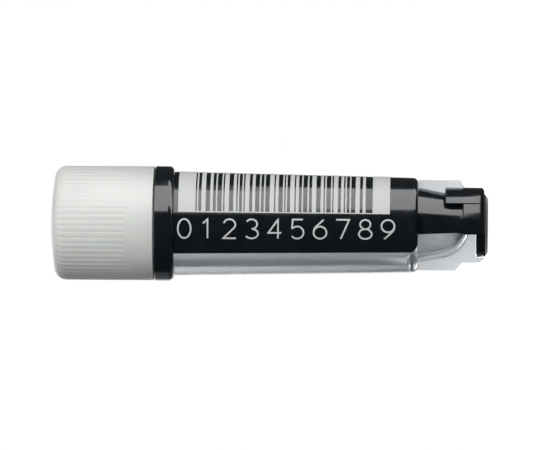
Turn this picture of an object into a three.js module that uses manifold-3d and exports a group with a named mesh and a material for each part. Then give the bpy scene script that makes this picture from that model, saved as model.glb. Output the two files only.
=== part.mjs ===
// Two-shot screw-cap cryovial, about 2 ml, standing on its foot.
// Units are millimetres. +Z runs up the tube's axis from the foot to the cap, and the
// clear window faces -X. The origin is the centre of the foot's flat face.
//
// Pieces: a clear tube with a threaded neck, a black jacket moulded over it, and a fluted
// screw cap with a plug seal inside.

import * as THREE from "three";
import { mergeVertices } from "three/addons/utils/BufferGeometryUtils.js";
import Module from "manifold-3d";

const wasm = await Module();
wasm.setup();

// ---------------------------------------------------------------- heights along the axis
const discThickness = 1.3;        // foot disc
const tipHeight = 1.95;           // lowest point of the tube's rounded bottom
const footRingHeight = 2.8;       // top of the foot ring
const lugHeight = 4.75;           // top of the wide locking lug on the foot ring
const jacketEnd = 7.7;            // lower end of the jacket's shell and of the window land
const shoulderHeight = 1.3;       // from the jacket's end up to the barrel's full width
const collarBottom = 34.6;
const collarHeight = 2.2;
const neckHeight = 9.5;           // from the collar's top to the tube's rim

// ---------------------------------------------------------------- tube
const mouthBoreRadius = 4.2;
const boreDraft = 0.01;           // loss of bore radius for each millimetre of depth
const neckWall = 0.75;
const neckStep = 0.05;            // the neck is this much slimmer than the barrel under it
const rimChamfer = 0.25;
const bottomRadius = 3.7;         // outside radius of the rounded bottom
const coneAngle = 11;             // degrees between the short bottom cone and the axis
const bottomWall = 1.15;

// ---------------------------------------------------------------- jacket
const jacketWall = 0.75;
const bodyDraft = 1.065;          // degrees a side, on the jacket and the window land alike
const jacketEndRounding = 0.6;
const windowAngle = 110;          // degrees of the body that stay clear, centred on -X
const collarStep = 0.05;          // the collar is this much wider than the cap
const collarRounding = 0.6;
const windowCorner = 1;           // rounding of the black wall's lower corners beside the window
const inlayDepth = 0.55;          // how deep the black straps are let into the bottom cone

// ---------------------------------------------------------------- foot
const footRingRadius = 4.1;
const footRingWall = 0.8;
const footRingBase = 0.4;         // height of the foot ring's lower edge
const footRounding = 0.45;
const cavityEdge = 2.3;           // height of the foot's cavity at its wall
const discOverlap = 0.2;          // how far the disc's edge runs into the foot ring
const discBevel = 0.5;            // from the disc's edge in to the flat that the vial stands on
const strapAngle = 208;           // degrees of the foot that are black, centred on +X
const strapStep = 0.65;           // from the foot ring in to the wall that carries it
const lugStep = 0.1;              // how far the lug stands proud of the foot ring
const lugAngle = 108;             // degrees, centred on +X
const finStep = 0.27;             // from the jacket's end in to the two clear fins, at +X and -X
const finThickness = 0.8;
const windowFinLead = 0.8;        // slope at the window fin's shoulder over the foot ring
const slotFinLead = 0.5;          // slope at the lower end of the fin in the lug
const slotDepth = 0.17;           // how far the lug's slot is sunk into the foot ring's top

// ---------------------------------------------------------------- screw thread
const threadLead = 3.2;           // rise in one turn
const threadStarts = 2;
const threadTurns = 1.25;         // turns of each start
const threadDepth = 0.43;
const ridgeRootWidth = 0.8;
const ridgeCrestWidth = 0.35;
const ridgeSink = 0.1;            // how far a ridge's root is let into its wall
const threadClearance = 0.12;     // between a crest and the wall that it faces
const flankClearance = 0.09;      // between the flanks that bear on each other
const neckThreadTop = 1.5;        // from the rim down to the end of the neck's ridges
const threadLag = 0.3;            // turns by which the cap's ridges start before the neck's
const threadRunOut = 24;          // degrees over which a ridge rises to its full depth

// ---------------------------------------------------------------- cap
const capWall = 0.8;
const capTopThickness = 1.0;      // over the seal, at the foot of the dome
const capCornerRadius = 1.3;
const capDome = 0.4;
const capEdgeChamfer = 0.15;      // outside and inside the skirt's open end
const smoothBandHeight = 2.9;     // plain band under the flutes
const fluteCount = 60;
const fluteDepth = 0.1;
const fluteWidth = 0.36;
const fluteFlank = 0.09;          // how much narrower each side of a flute is at its floor
const gateRadius = 0.7;           // dimple left by the moulding gate, in the cap's top
const gateDepth = 0.12;

// ---------------------------------------------------------------- seal
const sealThickness = 0.6;
const sealPlugLength = 1.2;
const sealPlugWall = 0.7;
const plugLead = 0.23;            // slope that guides the plug into the mouth
const beadDepth = 0.25;           // snap bead that holds the seal in the cap
const beadHeight = 0.4;

// ---------------------------------------------------------------- clearances
const shotGap = 0.05;             // between the clear and the black moulding
const capSeatGap = 0.08;          // under the cap's skirt, so that the seal takes the load
const sealGap = 0.1;              // round the seal's plug in the mouth and its rim in the cap

// ---------------------------------------------------------------- fineness of the round forms
const facets = 60;                // round the axis
const arcSteps = 4;               // along a rounded edge
const cutOver = 1;                // how far a cut runs past the face that it opens

const radians = THREE.MathUtils.degToRad;
const degrees = THREE.MathUtils.radToDeg;

// Heights that follow from the sizes above.
const collarTop = collarBottom + collarHeight;
const rim = collarTop + neckHeight;
const neckThreadBottom = rim - neckThreadTop - threadLead * threadTurns;
const capBottom = collarTop + capSeatGap;
const capCeiling = rim + sealThickness;
const capShoulder = capCeiling + capTopThickness;
const capApex = capShoulder + capDome;
const bottomCentre = tipHeight + bottomRadius;

// Radii that follow, from the bore outwards and from the foot ring inwards.
const neckRadius = mouthBoreRadius + neckWall;
const bodyTopRadius = neckRadius + neckStep + jacketWall;
const capBoreRadius = neckRadius + threadDepth + threadClearance;
const capRadius = capBoreRadius + capWall;
const collarRadius = capRadius + collarStep;
const finRadius = bodyRadius(jacketEnd) - finStep;
const lugRadius = footRingRadius + lugStep;
const strapRadius = footRingRadius - strapStep;
const footRingInnerRadius = footRingRadius - footRingWall;
const discRadius = footRingInnerRadius + discOverlap;
const footFlatRadius = discRadius - discBevel;

// ---------------------------------------------------------------- solids from three.js geometry
// A closed three.js geometry as a solid. Triangles that shrink to an edge are left out.
function toSolid(geometry) {
  geometry.deleteAttribute("normal");
  geometry.deleteAttribute("uv");
  const merged = mergeVertices(geometry);
  const corners = merged.index.array;
  const triVerts = [];
  for (let i = 0; i < corners.length; i += 3) {
    const [a, b, c] = corners.slice(i, i + 3);
    if (a !== b && b !== c && c !== a) triVerts.push(a, b, c);
  }
  return new wasm.Manifold(new wasm.Mesh({
    numProp: 3,
    vertProperties: merged.attributes.position.array,
    triVerts: new Uint32Array(triVerts),
  }));
}

// A solid as a named, coloured mesh.
function toMesh(name, solid, finish) {
  const { numProp, vertProperties, triVerts } = solid.getMesh();
  if (numProp !== 3) throw new Error(`${name} should hold positions only`);
  const geometry = new THREE.BufferGeometry();
  geometry.setAttribute("position", new THREE.BufferAttribute(vertProperties, 3));
  geometry.setIndex(new THREE.BufferAttribute(triVerts, 1));
  geometry.computeVertexNormals();
  const mesh = new THREE.Mesh(geometry, new THREE.MeshStandardMaterial(finish));
  mesh.name = name;
  return mesh;
}

// A closed outline of [radius, height] points, anticlockwise, turned about the axis.
function revolve(outline) {
  const points = [...outline, outline[0]].map(([radius, height]) => new THREE.Vector2(radius, height));
  return toSolid(new THREE.LatheGeometry(points, facets).rotateX(Math.PI / 2));
}

// A plate in the XZ plane, centred on Y = 0, from an anticlockwise outline of [x, z] points.
function plate(outline, thickness) {
  const shape = new THREE.Shape(outline.map(([x, z]) => new THREE.Vector2(x, z)));
  const geometry = new THREE.ExtrudeGeometry(shape, { depth: thickness, bevelEnabled: false });
  return toSolid(geometry.rotateX(Math.PI / 2).translate(0, thickness / 2, 0));
}

// A slice of the round between two angles in degrees, tall and wide enough for any piece here.
function sector(from, to) {
  const reach = 2 * collarRadius;
  const steps = Math.ceil((to - from) / 30);
  const shape = new THREE.Shape();
  shape.moveTo(0, 0);
  for (let i = 0; i <= steps; i++) {
    const angle = radians(from + (to - from) * i / steps);
    shape.lineTo(reach * Math.cos(angle), reach * Math.sin(angle));
  }
  return toSolid(new THREE.ExtrudeGeometry(shape, { depth: capApex, bevelEnabled: false }));
}

// Points along a quarter circle, anticlockwise, round a centre in an outline.
function quarter(radius, height, size, start) {
  return arc(radius, height, size, start, start + 90);
}

// Points along an arc between two angles in degrees, round a centre in an outline.
function arc(x, y, size, from, to) {
  return Array.from({ length: arcSteps + 1 }, (_, i) => {
    const angle = radians(from + (to - from) * i / arcSteps);
    return [x + size * Math.cos(angle), y + size * Math.sin(angle)];
  });
}

// ---------------------------------------------------------------- shared forms of the vial
// Outside radius of the body, which tapers for the mould.
function bodyRadius(z) {
  return bodyTopRadius - Math.tan(radians(bodyDraft)) * (collarBottom - z);
}

// Outside radius of the clear wall under the jacket.
function barrelRadius(z) {
  return bodyRadius(z) - jacketWall;
}

function boreRadius(z) {
  return mouthBoreRadius - boreDraft * (rim - z);
}

// Radius of the bottom cone, on the surface that lies `inset` under its outside.
function coneRadius(z, inset) {
  const angle = radians(coneAngle);
  return (bottomRadius - inset) / Math.cos(angle) + (z - bottomCentre) * Math.tan(angle);
}

// The rounded end of the bottom cone, from the axis out to where it meets the cone.
function roundedBottom(inset) {
  const radius = bottomRadius - inset;
  const steps = 2 * arcSteps;
  return Array.from({ length: steps + 1 }, (_, i) => {
    const angle = radians((90 - coneAngle) * i / steps);
    return [radius * Math.sin(angle), bottomCentre - radius * Math.cos(angle)];
  });
}

// A test-tube form: rounded bottom, short cone, shoulder, and a barrel whose radius depends on z.
function vessel(inset, barrel, top) {
  const shoulderTop = jacketEnd + shoulderHeight;
  return revolve([
    ...roundedBottom(inset),
    [coneRadius(jacketEnd, inset), jacketEnd],
    [barrel(shoulderTop), shoulderTop],
    [barrel(top), top],
    [0, top],
  ]);
}

// Angle in degrees that leaves the gap between the two mouldings at a radius.
function gapAngle(radius) {
  return degrees(shotGap / radius);
}

// The shell's edge beside the window, in degrees from +X.
function shellEdge() {
  return (360 - windowAngle) / 2 - gapAngle(bodyRadius(jacketEnd));
}

// Two bars that run outwards from the axis along the shell's edges, one at each side of the window.
// Their outline is of [x, z] points: x from the edge into the black wall, z up from its lower end.
function edgeBars(outline) {
  const shape = new THREE.Shape(outline.map(([x, z]) => new THREE.Vector2(x, z)));
  const geometry = new THREE.ExtrudeGeometry(shape, { depth: 2 * bodyTopRadius, bevelEnabled: false });
  const bar = toSolid(geometry.rotateX(Math.PI / 2).translate(0, 0, jacketEnd));
  const turned = bar.rotate([0, 0, 90 - shellEdge()]);
  return turned.add(turned.mirror([0, 1, 0]));
}

// ---------------------------------------------------------------- screw thread
// One ridge of a thread: a trapezium swept along a helix. Its root is sunk a little into the wall,
// and its crest sinks into the wall at both ends. `start` is in turns, `bottom` is the height there.
function threadRidge(wallRadius, crestRadius, start, bottom) {
  const steps = Math.round(threadTurns * facets);
  const outward = Math.sign(crestRadius - wallRadius);
  const sink = ridgeSink * outward;
  const slope = (ridgeRootWidth - ridgeCrestWidth) / threadDepth;
  const positions = [];
  for (let i = 0; i <= steps; i++) {
    const turned = 360 * threadTurns * i / steps;
    const rise = Math.min(1, turned / threadRunOut, (360 * threadTurns - turned) / threadRunOut);
    const crest = wallRadius - sink / 2 + (crestRadius - wallRadius + sink / 2) * rise;
    const root = wallRadius - sink;
    const crestHalf = ridgeCrestWidth / 2 + slope * Math.abs(crestRadius - crest) / 2;
    const rootHalf = ridgeCrestWidth / 2 + slope * Math.abs(crestRadius - root) / 2;
    const angle = radians(360 * start + turned);
    const height = bottom + threadLead * turned / 360;
    const section = [[root, -rootHalf], [crest, -crestHalf], [crest, crestHalf], [root, rootHalf]];
    for (const [radius, offset] of section) {
      positions.push(radius * Math.cos(angle), radius * Math.sin(angle), height + offset);
    }
  }
  const index = [];
  for (let i = 0; i < steps; i++) {
    for (let side = 0; side < 4; side++) {
      const here = 4 * i + side;
      const next = 4 * i + (side + 1) % 4;
      index.push(next, here, here + 4, next, here + 4, next + 4);
    }
  }
  const last = 4 * steps;
  index.push(0, 1, 2, 0, 2, 3, last + 2, last + 1, last, last + 3, last + 2, last);
  if (outward < 0) index.reverse();
  const geometry = new THREE.BufferGeometry();
  geometry.setAttribute("position", new THREE.Float32BufferAttribute(positions, 3));
  geometry.setIndex(index);
  return toSolid(geometry);
}

// All the starts of a thread, spaced evenly round the axis.
function thread(wallRadius, crestRadius, start, bottom) {
  const ridges = [];
  for (let i = 0; i < threadStarts; i++) {
    ridges.push(threadRidge(wallRadius, crestRadius, start + i / threadStarts, bottom));
  }
  return ridges.reduce((all, ridge) => all.add(ridge));
}

// ---------------------------------------------------------------- clear tube
function threadedNeck() {
  const neck = revolve([
    [0, collarBottom],
    [neckRadius, collarBottom],
    [neckRadius, rim - rimChamfer],
    [neckRadius - rimChamfer, rim],
    [0, rim],
  ]);
  return neck.add(thread(neckRadius, neckRadius + threadDepth, 0, neckThreadBottom));
}

// The part of the body that stays clear, flush with the jacket. It fills the jacket's round corners.
function windowLand() {
  const land = revolve([
    ...roundedBottom(0),
    [coneRadius(jacketEnd, 0), jacketEnd],
    ...quarter(bodyRadius(jacketEnd) - jacketEndRounding, jacketEnd + jacketEndRounding,
      jacketEndRounding, -90),
    [bodyRadius(collarBottom - shotGap), collarBottom - shotGap],
    [0, collarBottom - shotGap],
  ]);
  const fillRadius = windowCorner + shotGap;
  const fillEnd = 180 + degrees(Math.asin(windowCorner / fillRadius));
  const cornerFill = edgeBars([
    [-windowCorner, 0],
    ...arc(windowCorner, windowCorner, fillRadius, fillEnd, 180),
    [-windowCorner, windowCorner],
  ]);
  return land.intersect(sector(180 - windowAngle / 2, 180 + windowAngle / 2).add(cornerFill));
}

// The part of the bottom cone that no black strap covers.
function clearBottom() {
  const top = jacketEnd - shotGap;
  const cone = revolve([...roundedBottom(0), [coneRadius(top, 0), top], [0, top]]);
  return cone.intersect(sector(strapAngle / 2, 360 - strapAngle / 2));
}

// The fin at +X, which shows through a slot in the black lug.
function slotFin() {
  const low = footRingHeight - slotDepth + shotGap;
  const high = jacketEnd - shotGap;
  return plate([
    [0, low],
    [lugRadius, low],
    [finRadius, low + slotFinLead],
    [finRadius, high],
    [0, high],
  ], finThickness);
}

// The fin at -X, which runs down past the foot ring's height and round the disc's edge.
function windowFin() {
  const inner = -finThickness / 2;
  const discEdge = -(discRadius + shotGap);
  const discTop = discThickness + shotGap;
  return plate([
    [inner, discTop],
    [inner, jacketEnd],
    [-finRadius, jacketEnd],
    [-finRadius, footRingHeight + windowFinLead],
    [-footRingRadius, footRingHeight],
    [-footRingRadius, footRingBase + footRounding],
    [-footRingRadius + footRounding, footRingBase],
    [discEdge, footRingBase],
    [discEdge, discTop],
  ], finThickness);
}

function tube() {
  return vessel(inlayDepth, barrelRadius, collarTop)
    .add(threadedNeck())
    .add(windowLand())
    .add(clearBottom())
    .add(slotFin())
    .add(windowFin())
    .subtract(vessel(bottomWall, boreRadius, rim + cutOver));
}

// ---------------------------------------------------------------- black jacket
function collar() {
  return revolve([
    [0, collarBottom],
    ...quarter(collarRadius - collarRounding, collarBottom + collarRounding, collarRounding, -90),
    [collarRadius, collarTop],
    [0, collarTop],
  ]);
}

// The black wall round the body, open at the window, with round corners at its lower end there.
function shell() {
  const outline = revolve([
    [0, jacketEnd],
    ...quarter(bodyRadius(jacketEnd) - jacketEndRounding, jacketEnd + jacketEndRounding,
      jacketEndRounding, -90),
    [bodyTopRadius, collarBottom],
    [bodyTopRadius, collarBottom + collarRounding],
    [0, collarBottom + collarRounding],
  ]);
  const squareCorners = edgeBars([
    [-cutOver, -cutOver],
    [windowCorner, -cutOver],
    ...arc(windowCorner, windowCorner, windowCorner, 270, 180),
    [-cutOver, windowCorner],
  ]);
  return outline.intersect(sector(-shellEdge(), shellEdge())).subtract(squareCorners);
}

// A band of the foot ring's section, as wide as the black straps.
function footBand(radius, top, angle) {
  const rounding = quarter(radius - footRounding, footRingBase + footRounding, footRounding, -90);
  return revolve([[0, footRingBase], ...rounding, [radius, top], [0, top]])
    .intersect(sector(-angle / 2, angle / 2));
}

// The black wall that carries the foot: it follows the bottom cone and is let into it.
function strap() {
  const edge = strapAngle / 2 - gapAngle(strapRadius);
  const coneStart = bottomCentre + (strapRadius - coneRadius(bottomCentre, 0))
    / (coneRadius(1, 0) - coneRadius(0, 0));
  return revolve([
    [0, footRingBase],
    [strapRadius, footRingBase],
    [strapRadius, coneStart],
    [coneRadius(jacketEnd, 0), jacketEnd],
    [coneRadius(jacketEnd, 0), jacketEnd + jacketEndRounding],
    [0, jacketEnd + jacketEndRounding],
  ]).intersect(sector(-edge, edge));
}

function footDisc() {
  return revolve([
    [0, 0],
    [footFlatRadius, 0],
    [discRadius, footRingBase],
    [discRadius, discThickness],
    [0, discThickness],
  ]);
}

// The hollow between the disc and the black wall over it, open at the window side.
function footCavity() {
  return revolve([
    [0, discThickness],
    [footRingInnerRadius, discThickness],
    [footRingInnerRadius, cavityEdge],
    [0, tipHeight],
  ]);
}

function jacket() {
  const blackEdge = strapAngle - 2 * gapAngle(strapRadius);
  const slotFloor = footRingHeight - slotDepth;
  const finSlot = plate([
    [0, slotFloor],
    [2 * finRadius, slotFloor],
    [2 * finRadius, jacketEnd],
    [0, jacketEnd],
  ], finThickness + 2 * shotGap);
  const tubeSpace = vessel(inlayDepth - shotGap, (z) => barrelRadius(z) + shotGap, capApex);
  return collar()
    .add(shell())
    .add(strap())
    .add(footBand(footRingRadius, footRingHeight, blackEdge))
    .add(footBand(lugRadius, lugHeight, lugAngle))
    .subtract(footCavity())
    .add(footDisc())
    .subtract(tubeSpace)
    .subtract(finSlot);
}

// ---------------------------------------------------------------- screw cap
function capOutside() {
  const cornerCentre = capRadius - capCornerRadius;
  const domeRadius = (cornerCentre ** 2 + capDome ** 2) / (2 * capDome);
  const dome = Array.from({ length: arcSteps }, (_, i) => {
    const radius = cornerCentre * (1 - (i + 1) / arcSteps);
    return [radius, capApex - domeRadius + Math.sqrt(domeRadius ** 2 - radius ** 2)];
  });
  return revolve([
    [0, capBottom],
    [capRadius - capEdgeChamfer, capBottom],
    [capRadius, capBottom + capEdgeChamfer],
    ...quarter(cornerCentre, capShoulder - capCornerRadius, capCornerRadius, 0),
    ...dome,
  ]);
}

// Inside of the cap, with the snap bead that the seal is pressed past.
function capInside() {
  const beadTop = rim - shotGap;
  const beadMiddle = beadTop - beadHeight / 2;
  return revolve([
    [0, capBottom],
    [capBoreRadius + capEdgeChamfer, capBottom],
    [capBoreRadius, capBottom + capEdgeChamfer],
    [capBoreRadius, beadTop - beadHeight],
    [capBoreRadius - beadDepth, beadMiddle],
    [capBoreRadius, beadTop],
    [capBoreRadius, capCeiling],
    [0, capCeiling],
  ]);
}

// One groove between two grip ribs. It runs out on the cap's rounded corner.
function flute() {
  const floorHalf = fluteWidth / 2 - fluteFlank;
  const outsideHalf = fluteWidth / 2 + fluteFlank;
  const groove = new THREE.Shape([
    new THREE.Vector2(capRadius - fluteDepth, -floorHalf),
    new THREE.Vector2(capRadius + fluteDepth, -outsideHalf),
    new THREE.Vector2(capRadius + fluteDepth, outsideHalf),
    new THREE.Vector2(capRadius - fluteDepth, floorHalf),
  ]);
  const low = capBottom + smoothBandHeight;
  const depth = capApex - low;
  return toSolid(new THREE.ExtrudeGeometry(groove, { depth, bevelEnabled: false }).translate(0, 0, low));
}

function capFlutes() {
  const groove = flute();
  const grooves = [];
  for (let i = 0; i < fluteCount; i++) {
    grooves.push(groove.rotate([0, 0, 360 * (i + 0.5) / fluteCount]));
  }
  return wasm.Manifold.union(grooves);
}

function gateDimple() {
  return revolve([
    [0, capApex - gateDepth],
    [gateRadius, capApex - gateDepth],
    [gateRadius, capApex + cutOver],
    [0, capApex + cutOver],
  ]);
}

// The cap's ridges lie under the neck's, clear of their flanks.
function capThread() {
  const flankWidth = (ridgeRootWidth - ridgeCrestWidth) * (1 + threadClearance / threadDepth) / 2;
  const under = ridgeRootWidth - flankWidth + flankClearance;
  const bottom = neckThreadBottom - threadLead * threadLag - under;
  return thread(capBoreRadius, capBoreRadius - threadDepth, -threadLag, bottom);
}

function screwCap() {
  return capOutside()
    .subtract(capInside())
    .add(capThread())
    .subtract(capFlutes())
    .subtract(gateDimple());
}

// ---------------------------------------------------------------- plug seal
function capSeal() {
  const plugBottom = rim - sealPlugLength;
  const plugRadius = boreRadius(plugBottom) - sealGap;
  return revolve([
    [0, rim],
    [plugRadius - sealPlugWall, rim],
    [plugRadius - sealPlugWall, plugBottom],
    [plugRadius - plugLead, plugBottom],
    [plugRadius, plugBottom + plugLead],
    [plugRadius, rim],
    [capBoreRadius - sealGap, rim],
    [capBoreRadius - sealGap, capCeiling],
    [0, capCeiling],
  ]);
}

// ---------------------------------------------------------------- the vial
const vial = new THREE.Group();
vial.add(
  toMesh("tube", tube(), {
    color: 0xdfe4e6, roughness: 0.15, metalness: 0, transparent: true, opacity: 0.35,
  }),
  toMesh("jacket", jacket(), { color: 0x0b0f14, roughness: 0.25, metalness: 0 }),
);

const closure = new THREE.Group();
closure.add(
  toMesh("screw_cap", screwCap(), { color: 0xdfe2dc, roughness: 0.45, metalness: 0 }),
  toMesh("cap_seal", capSeal(), { color: 0xc9ccc6, roughness: 0.6, metalness: 0 }),
);
vial.add(closure);

export default vial;
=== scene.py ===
"""Looks of the two-shot cryovial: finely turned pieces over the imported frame, laser marks on the
jacket, moulded-plastic materials, and a pale studio.

The pieces are shaped in millimetres, in the frame of the CAD model, and are set in metres.
"""

import math

import bmesh
import bpy
from mathutils import Matrix, Vector


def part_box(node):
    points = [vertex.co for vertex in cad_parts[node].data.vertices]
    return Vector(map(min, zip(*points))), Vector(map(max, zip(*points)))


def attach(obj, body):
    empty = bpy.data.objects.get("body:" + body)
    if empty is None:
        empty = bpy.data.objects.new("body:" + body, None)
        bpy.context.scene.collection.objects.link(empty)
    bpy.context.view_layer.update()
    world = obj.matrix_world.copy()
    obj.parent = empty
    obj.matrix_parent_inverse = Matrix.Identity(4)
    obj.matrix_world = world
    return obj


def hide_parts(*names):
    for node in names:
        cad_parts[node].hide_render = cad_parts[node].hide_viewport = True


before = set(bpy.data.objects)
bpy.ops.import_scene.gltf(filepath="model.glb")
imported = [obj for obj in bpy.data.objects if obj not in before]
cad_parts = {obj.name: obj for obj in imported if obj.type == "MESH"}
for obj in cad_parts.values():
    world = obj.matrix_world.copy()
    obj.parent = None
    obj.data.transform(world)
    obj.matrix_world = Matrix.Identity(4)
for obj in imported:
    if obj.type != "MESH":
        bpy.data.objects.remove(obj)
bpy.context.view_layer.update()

MM = 0.001
SEGMENTS = 240          # round the axis, and round one turn of a thread
ARC_STEPS = 10          # along a rounded edge
SECTOR_STEP = 30        # degrees between two points of a sector's rim, at most
ON_AXIS = 1e-9          # a point nearer to the axis than this lies on it
CUT_PAST = 1            # cutters reach this far past what they cut


def cad_box(node):
    """Lowest and highest corner of a CAD node, in millimetres."""
    low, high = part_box(node)
    return low / MM, high / MM


# ---------------------------------------------------------------- sizes read from the frame
_, tube_high = cad_box("tube")
_, jacket_high = cad_box("jacket")
cap_low, cap_high = cad_box("screw_cap")

RIM = tube_high.z
COLLAR_TOP = jacket_high.z
COLLAR_RADIUS = jacket_high.y
CAP_BOTTOM = cap_low.z
CAP_RADIUS = cap_high.y
CAP_TOP = cap_high.z

# ---------------------------------------------------------------- tube and jacket, in millimetres
COLLAR_HEIGHT = 2.2
COLLAR_ROUNDING = 0.6
COLLAR_CHAMFER = 0.1
NECK_RADIUS = 4.95
RIM_CHAMFER = 0.25
BORE_RADIUS = 4.2       # at the rim
BORE_DRAFT = 0.01       # taper of the bore's radius, for each millimetre down
BOTTOM_WALL = 1.15
BOTTOM_RADIUS = 3.7
BOTTOM_CENTRE = 5.65    # height of the rounded bottom's centre
SHOULDER_TOP = 9.0      # where the bottom's shoulder meets the barrel
CONE_ANGLE = math.radians(11)
BODY_TOP_RADIUS = 5.75
BODY_DRAFT = math.radians(1.065)
JACKET_WALL = 0.75
JACKET_END = 7.7        # height of the black wall's lower end
JACKET_END_ROUNDING = 0.6
WINDOW_CORNER = 1.0     # rounding of the black wall's lower corners beside the window
WINDOW_ANGLE = 110      # degrees
INLAY_DEPTH = 0.55      # the strap is let this far into the clear bottom
SHOT_OVERLAP = 0.02     # the black moulding is welded into the clear one

FOOT_RING_RADIUS = 4.1
FOOT_RING_INNER = 3.3
FOOT_RING_BASE = 0.4
FOOT_RING_TOP = 2.8
FOOT_ROUNDING = 0.45
FOOT_CHAMFER = 0.12     # upper edge of the foot ring and the lugs
FOOT_FLAT_RADIUS = 3.0
DISC_RADIUS = 3.5
DISC_THICKNESS = 1.3
DISC_CHAMFER = 0.1
CAVITY_EDGE = 2.3       # height of the foot's hollow at its wall, and on the axis
CAVITY_MIDDLE = 1.95
STRAP_ANGLE = 208       # degrees
STRAP_RADIUS = 3.45
LUG_RADIUS = 4.2
LUG_TOP = 4.75
LUG_ANGLE = 108         # degrees
FIN_RADIUS = 4.98
FIN_THICKNESS = 0.8
FIN_TO_DISC = 0.05      # the window fin stays this far off the foot disc
WINDOW_FIN_LEAD = 0.8
SLOT_FIN_LEAD = 0.5
SLOT_FLOOR = 2.63

# ---------------------------------------------------------------- thread
THREAD_LEAD = 3.2
THREAD_STARTS = 2
THREAD_TURNS = 1.25
THREAD_DEPTH = 0.43
RIDGE_ROOT_WIDTH = 0.8
RIDGE_CREST_WIDTH = 0.35
RIDGE_SINK = 0.1        # a ridge starts this deep in its wall
CREST_DROP = 0.08       # the crest's corners are rounded off by a drop and an inset
CREST_INSET = 0.06
THREAD_RUN_OUT = 24     # degrees over which a ridge rises and falls at its ends
NECK_THREAD_TOP = 1.5   # the neck's ridges end this far under the rim
THREAD_LAG = 0.3        # the cap's ridges start this part of a turn before the neck's
THREAD_CLEARANCE = 0.12
FLANK_CLEARANCE = 0.09

# ---------------------------------------------------------------- cap and seal
CAP_CORNER_RADIUS = 1.3
CAP_DOME = 0.4
CAP_EDGE = 0.15
CAP_BORE_RADIUS = 5.5
CAP_INSET = 0.002       # the cap's top stays this far inside the CAD box
DOME_STEPS = 12
SMOOTH_BAND_HEIGHT = 2.9
BAND_LOOP = 0.05        # a ring of points this far under the flutes keeps the band smooth
FLUTES = 60
FLUTE_DEPTH = 0.03
FLUTE_STEPS = 12        # samples round one flute
FLUTE_HALF_WIDTH = 0.3  # as a part of the flutes' pitch
FLUTE_FADE = 0.25       # height over which the flutes' lower ends fade in
FADE_STEPS = 6
FLUTE_TOP_INSET = 0.35  # they are at full depth this far inside the cap's radius
SKIN_MARGIN = 0.1       # points further than this from bore and ceiling are on the outside
GATE_RADIUS = 0.7
GATE_DEPTH = 0.12
GATE_SLOPE = 0.1
BEAD_DEPTH = 0.25
BEAD_HEIGHT = 0.4
BEAD_GAP = 0.05         # between the bead and the seal's disc

SEAL_THICKNESS = 0.6
SEAL_GAP = 0.1
SEAL_CHAMFER = 0.05
PLUG_LENGTH = 1.2
PLUG_WALL = 0.7
PLUG_LEAD = 0.23

# ---------------------------------------------------------------- laser marks
MARK_LIFT = 0.012       # the marks stand this far above the jacket
MARK_SINK = 0.03        # and reach this far into it
MARK_STEP = 3           # degrees round the jacket, at most, between two points of a bar
MARK_FIELD_TOP = 34.1   # height of the upper end of the bar pattern
MARK_FIELD_BOTTOM = 10.8
MARK_QUIET = 1.9        # plain white block at each end of the pattern
MARK_FROM = -76         # degrees round the jacket
MARK_TO = 24
MARK_RULE = 1.2         # degrees: width of the plain line along the ends of the bars
BAR_MODULE = 0.16       # width of the narrowest bar
DIGITS = "0123456789"
DIGIT_HEIGHT = 2.12
DIGIT_WIDTH = 1.42
DIGIT_PITCH = 2.49
DIGIT_STROKE = 0.18
DIGIT_STEP = 0.25       # longest straight run of a stroke, so that it follows the round
DIGIT_ARC_STEP = 15     # degrees between two points of a digit's arc, at most
DIGITS_MIDDLE = -95.6   # degrees round the jacket
DIGITS_TOP = 33.4       # height of the middle of the first digit
MITRE_FLOOR = 0.5       # a stroke's corners reach twice its half width at most
SAME_POINT = 1e-6       # a stroke whose ends are nearer than this is closed

# ---------------------------------------------------------------- sizes that follow from others
NECK_THREAD_BOTTOM = RIM - NECK_THREAD_TOP - THREAD_LEAD * THREAD_TURNS
COLLAR_BOTTOM = COLLAR_TOP - COLLAR_HEIGHT
CAP_CEILING = RIM + SEAL_THICKNESS
BAND_TOP = CAP_BOTTOM + SMOOTH_BAND_HEIGHT
SHELL_EDGE = 180 - WINDOW_ANGLE / 2 + math.degrees(SHOT_OVERLAP / BODY_TOP_RADIUS)
CAP_CORNER = CAP_RADIUS - CAP_CORNER_RADIUS
DOME_RADIUS = (CAP_CORNER ** 2 + CAP_DOME ** 2) / (2 * CAP_DOME)
DIMPLE_DROP = DOME_RADIUS - math.sqrt(DOME_RADIUS ** 2 - GATE_RADIUS ** 2)
CAP_APEX = CAP_TOP - CAP_INSET + DIMPLE_DROP     # the dimple's rim is the cap's highest line
CAP_SHOULDER = CAP_APEX - CAP_DOME


# ---------------------------------------------------------------- solids
def solid(name, vertices, faces):
    """An object with a mesh of these points and faces, linked to the scene."""
    mesh = bpy.data.meshes.new(name)
    mesh.from_pydata([tuple(v) for v in vertices], [], faces)
    mesh.update()
    made = bpy.data.objects.new(name, mesh)
    bpy.context.scene.collection.objects.link(made)
    return made


def polar(radius, angle, height):
    """A point at a radius and an angle in radians round the axis."""
    return (radius * math.cos(angle), radius * math.sin(angle), height)


def spaced(start, end, steps):
    """Evenly spaced angles in radians, from a start to an end in degrees."""
    return [math.radians(start + (end - start) * i / steps) for i in range(steps + 1)]


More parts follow.
